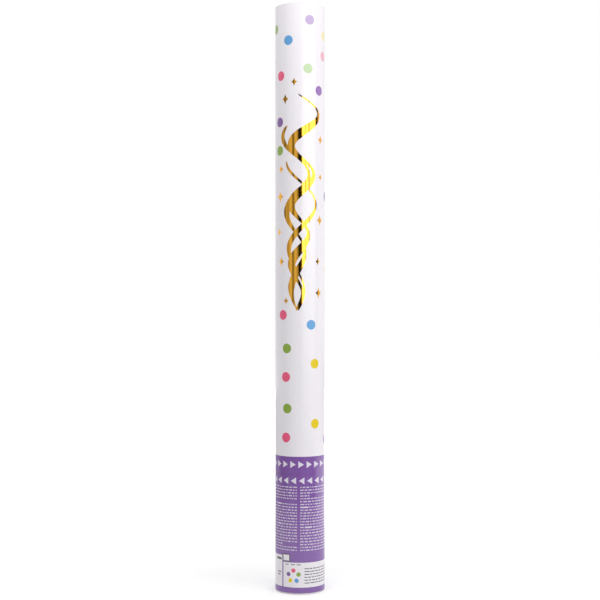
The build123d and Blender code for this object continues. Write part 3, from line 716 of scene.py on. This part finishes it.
# Pale shades: pale print round the back, and on the front's right also a painted highlight where the strip's
# glare falls
pale_and_highlight_shades = {
    "pale_pink": ("#EFB0C2", "#F4BCCC"), "pale_green": ("#BDD6A6", "#C8DEB3"),
    "pale_yellow": ("#F2E9AE", "#F6EFC0"), "pale_purple": ("#BEA7D1", "#C8B2D9"),
    "mid_purple": ("#9B74B6", "#A680C0"),
}
for colour, shades in pale_and_highlight_shades.items():
    dot_print[colour] = laminate(f"{colour} laminated print", *shades)
dot_places = {
    "pink": [
        (-50, 527.1), (-43, 283.6), (-34.5, 220.6), (-34, 159.1), (118, 590.1), (150, 463.1),
        (236, 406.1), (112, 373.1), (188, 319.1), (224, 215.1), (106, 177.1),
    ],
    "green": [
        (-73, 576.1), (-54, 451.1), (-32, 249.6), (-31, 188.6), (165, 572.1), (112, 506.1),
        (244, 481.1), (178, 432.1), (262, 373.1), (98, 291.1), (232, 263.1), (172, 201.1),
    ],
    "blue": [
        (-28, 562.6), (26.5, 273.6), (215, 591.1), (132, 541.1), (190, 487.1), (108, 437.1),
        (214, 375.1), (128, 313.1), (186, 269.1), (250, 331.1), (262, 191.1), (138, 157.1),
    ],
    "yellow": [
        (36, 234.1), (37, 173.1), (160, 517.1), (222, 445.1), (142, 397.1), (222, 297.1),
        (116, 227.1), (204, 171.1), (92, 331.1),
    ],
    "purple": [
        (-54, 480.1), (262, 521.1), (172, 385.1), (196, 241.1), (150, 209.1),
        (250, 157.1), (84, 405.1),
    ],
    # The pale and mid dots on the front's right, at angles from 19 to 79 degrees, are partly painted highlight
    "pale_pink": [(66, 548.1), (200, 539.1), (140, 263.1)],
    "pale_green": [(19, 533.6), (150, 349.1)],
    "pale_yellow": [(70, 569.1), (246, 553.1)],
    "pale_purple": [(23, 583.1), (79, 156.1), (98, 557.1), (256, 437.1), (104, 263.1)],
    "mid_purple": [(49.5, 512.1), (208, 351.1)],
}
for colour, places in dot_places.items():
    middles = np.array(places) * (wrap_outside * math.pi / 180, 1.0)
    dots = skin(f"dots_{colour}", laid(*discs(middles, dot_radius)), dot_print[colour])
    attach(dots, "launcher")

# Gold foil: streamers and sparkles on the front of the launch wrap, of aluminium under a yellow lacquer,
# pressed on by a hot die. The streamers fan out from one point, each a little prouder than the one it
# crosses. Such foil is mirror-bright, with a slight peel and lines up the tube where the die has drawn it.
foil_relief = (0.25, 0.0001)
foil_lacquer = (0.75, 0.1)
gold_foil = worked_metal(
    "hot-stamped gold foil", "#E6A41E", "#EFB232", (2.2, 2.2, 45), 2.0, 0.08, 0.15, foil_relief, foil_lacquer,
)


def streamer(foot, head, swing, waves, start, thin, thick):
    """A curled paper streamer drawn as one stroke. It climbs from foot to head and swings from side to side
    as a sine that grows on the way up. Its half width is thick where it runs to one side and thin where it
    runs back, as a ribbon that shows its face and then its edge, and it shrinks to a point at both ends."""
    climb = np.linspace(0, 1, 241)
    phase = start + 2 * math.pi * waves * climb
    sway = swing * (0.3 + 0.7 * climb) * (np.sin(phase) - math.sin(start))
    side = foot[0] + (head[0] - foot[0]) * climb + sway
    rise = foot[1] + (head[1] - foot[1]) * climb
    slope = np.stack([np.gradient(side), np.gradient(rise)])
    slope = slope / np.linalg.norm(slope, axis=0)
    taper = np.minimum(1, 3 * np.sqrt(climb * (1 - climb)))
    half = (thin + (thick - thin) * (0.5 + 0.5 * np.cos(phase + 0.6))) * taper
    spread = np.linspace(-1, 1, 7)[None, :]
    across = side[:, None] - slope[1][:, None] * half[:, None] * spread
    up = rise[:, None] + slope[0][:, None] * half[:, None] * spread
    return across[None], up[None]


for name, proud, stroke in (
    ("foil_streamer_wide", 0.05, streamer((-4, 288), (7, 508), 16.0, 3.6, 0.0, 1.4, 4.5)),
    ("foil_streamer_middle", 0.065, streamer((-3, 288), (-4, 476), 16.0, 2.4, math.pi, 1.2, 3.7)),
    ("foil_streamer_fine", 0.08, streamer((-2, 288), (12, 440), 19.0, 1.7, 0.4, 0.9, 2.7)),
):
    ribbon = skin(name, laid(*stroke, proud=proud), gold_foil)
    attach(ribbon, "launcher")


def astroids(places, stretch=1.3):
    """Sparkles of four points, each placed by its middle across and up, with its half width. Across runs over
    the width, and up spreads to both sides by 1 less the two-thirds power of the way out, all to the power of
    1.5, and stretched to be taller than wide."""
    side, height, size = np.array(places, float).T[:, :, None, None]
    run = np.sin(np.linspace(-math.pi / 2, math.pi / 2, 25))[None, :, None]
    cross = np.linspace(-1, 1, 5)[None, None, :]
    waist = (1 - np.abs(run) ** (2 / 3)).clip(0) ** 1.5
    return side + size * run + 0 * cross, height + stretch * size * waist * cross


sparkle_places = [
    (-23.0, 404, 4.6), (-21.5, 338, 4.0), (23.0, 380, 4.4), (24.0, 462, 3.8), (-16.0, 503, 4.2),
    (21.0, 306, 4.4), (-24.5, 368, 3.2), (24.0, 424, 3.0), (-6.0, 520, 3.4), (-15.0, 298, 3.0),
    (20.0, 338, 3.2), (-22.0, 432, 3.4),
]
sparkles = skin("foil_sparkles", laid(*astroids(sparkle_places)), gold_foil)
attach(sparkles, "launcher")

# Pusher wad and wad disc: a cup of moulded pulp, loose in the bore, with a greyboard disc glued on it. The
# air pushes the wad up the tube, and the disc carries the confetti.
dress(grey_pulp, "pusher_wad", "wad_disc")

# Confetti: slips of flameproof tissue, guillotined in stacks and stood on end in the bore. A real bundle has
# some hundreds of slips, and here each stands for about twenty, so that single edges show.
slip_pitch = 0.9
slip_thick = 0.62
slip_wide = 16.4
slip_tall = 54.5
slip_shift = 0.25
slip_bow = 0.1
uneven_foot = 0.25
uneven_head = 0.45
bundle_reach = round(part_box("confetti_layer_1")[1].x * 1000, 3)
side_start = 8.8
crepe_size = 1.5
# Tissue is matt and soft, finely creped, and each slip has a slightly different tone of its dye
tissue_shades = {
    "pink": ("#CF4F78", "#EE86A6"), "yellow": ("#DCC21B", "#F5E765"), "green": ("#6F9A3B", "#A6CB6F"),
    "blue": ("#4490D2", "#83BEEF"), "purple": ("#7A52A4", "#A782C9"),
}
tissue = {}
for colour, (dark, light) in tissue_shades.items():
    made = blank(bpy.data.materials.new(f"{colour} tissue"))
    place = add_node(made, "ShaderNodeTexCoord").outputs["Object"]
    slip = add_node(made, "ShaderNodeAttribute", attribute_name="tone").outputs["Fac"]
    wrinkles = {"Vector": place, "Scale": 1000 / crepe_size, "Detail": 4.0}
    crepe = add_node(made, "ShaderNodeTexNoise", wrinkles)
    shade = add_node(made, "ShaderNodeMath", {0: crepe, 1: 0.3, 2: slip}, operation="MULTIPLY_ADD")
    tint = add_node(made, "ShaderNodeMix", {0: shade, 6: linear(dark), 7: linear(light)}, data_type="RGBA")
    relief = add_node(made, "ShaderNodeBump", {"Height": crepe, "Strength": 0.4, "Distance": 0.0001})
    paper = {"Base Color": tint, "Roughness": 0.9, "Normal": relief}
    shader = add_node(made, "ShaderNodeBsdfPrincipled", paper)
    add_node(made, "ShaderNodeOutputMaterial", {"Surface": shader})
    tissue[colour] = made


def bundle(start, end, chance):
    """Slips side by side from start to end. Each is a thin upright sheet that bows a little, with its own
    small shift and height. Rows up it go round its front and back, pinched together at the top and foot."""
    count = int((end - start) / slip_pitch)
    middle = start + (np.arange(count) + 0.5) * (end - start) / count
    up = np.array([0.0, 0.012, 0.25, 0.5, 0.75, 0.988, 1.0])[None, :, None]
    thick = np.array([0.0, 1.0, 1.0, 1.0, 1.0, 1.0, 0.0])[None, :, None] * slip_thick / 2
    shift, bow, foot, head = chance.uniform(-1, 1, (4, count))[:, :, None, None]
    wide = np.array([-1.0, 0.0, 1.0, 1.0, 0.0, -1.0])[None, None, :] * slip_wide / 2
    face = np.array([-1.0, -1.0, -1.0, 1.0, 1.0, 1.0])[None, None, :]
    low = uneven_foot * (1 + foot)
    top = slip_tall - uneven_head * (1 + head)
    across = wide + slip_shift * shift + 0 * up
    depth = middle[:, None, None] + face * thick + slip_bow * bow * np.sin(math.pi * up) + 0 * wide
    rise = low + (top - low) * up + 0 * wide
    tone = chance.uniform(0, 0.7, (count, 1, 1)) + 0 * rise
    return np.stack([across, depth, rise], -1), tone


for layer, colour in enumerate(("pink", "yellow", "green", "blue", "purple", "pink", "yellow")):
    layer_foot = measured(f"confetti_layer_{layer + 1}")[2]
    chance = np.random.default_rng(40 + layer)
    centre, centre_tone = bundle(-bundle_reach, bundle_reach, chance)
    one_side, one_tone = bundle(side_start, bundle_reach, chance)
    other_side, other_tone = bundle(-bundle_reach, -side_start, chance)
    sides = np.concatenate([one_side, other_side])[..., [1, 0, 2]]
    slips = np.concatenate([centre, sides])
    if layer % 2:
        slips = np.stack([-slips[..., 1], slips[..., 0], slips[..., 2]], -1)
    slips = slips + np.array([0.0, 0.0, layer_foot])
    tone = np.concatenate([centre_tone, one_tone, other_tone])
    stack = skin(f"confetti_slips_{layer + 1}", slips, tissue[colour], tone=tone)
    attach(stack, "payload")
    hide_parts(f"confetti_layer_{layer + 1}")

# Muzzle cap: the same moulding as the bottom cap, in the same polyethylene. It is only pushed into the
# muzzle, and the shot pushes it out.
dress(cap_plastic, "muzzle_cap")
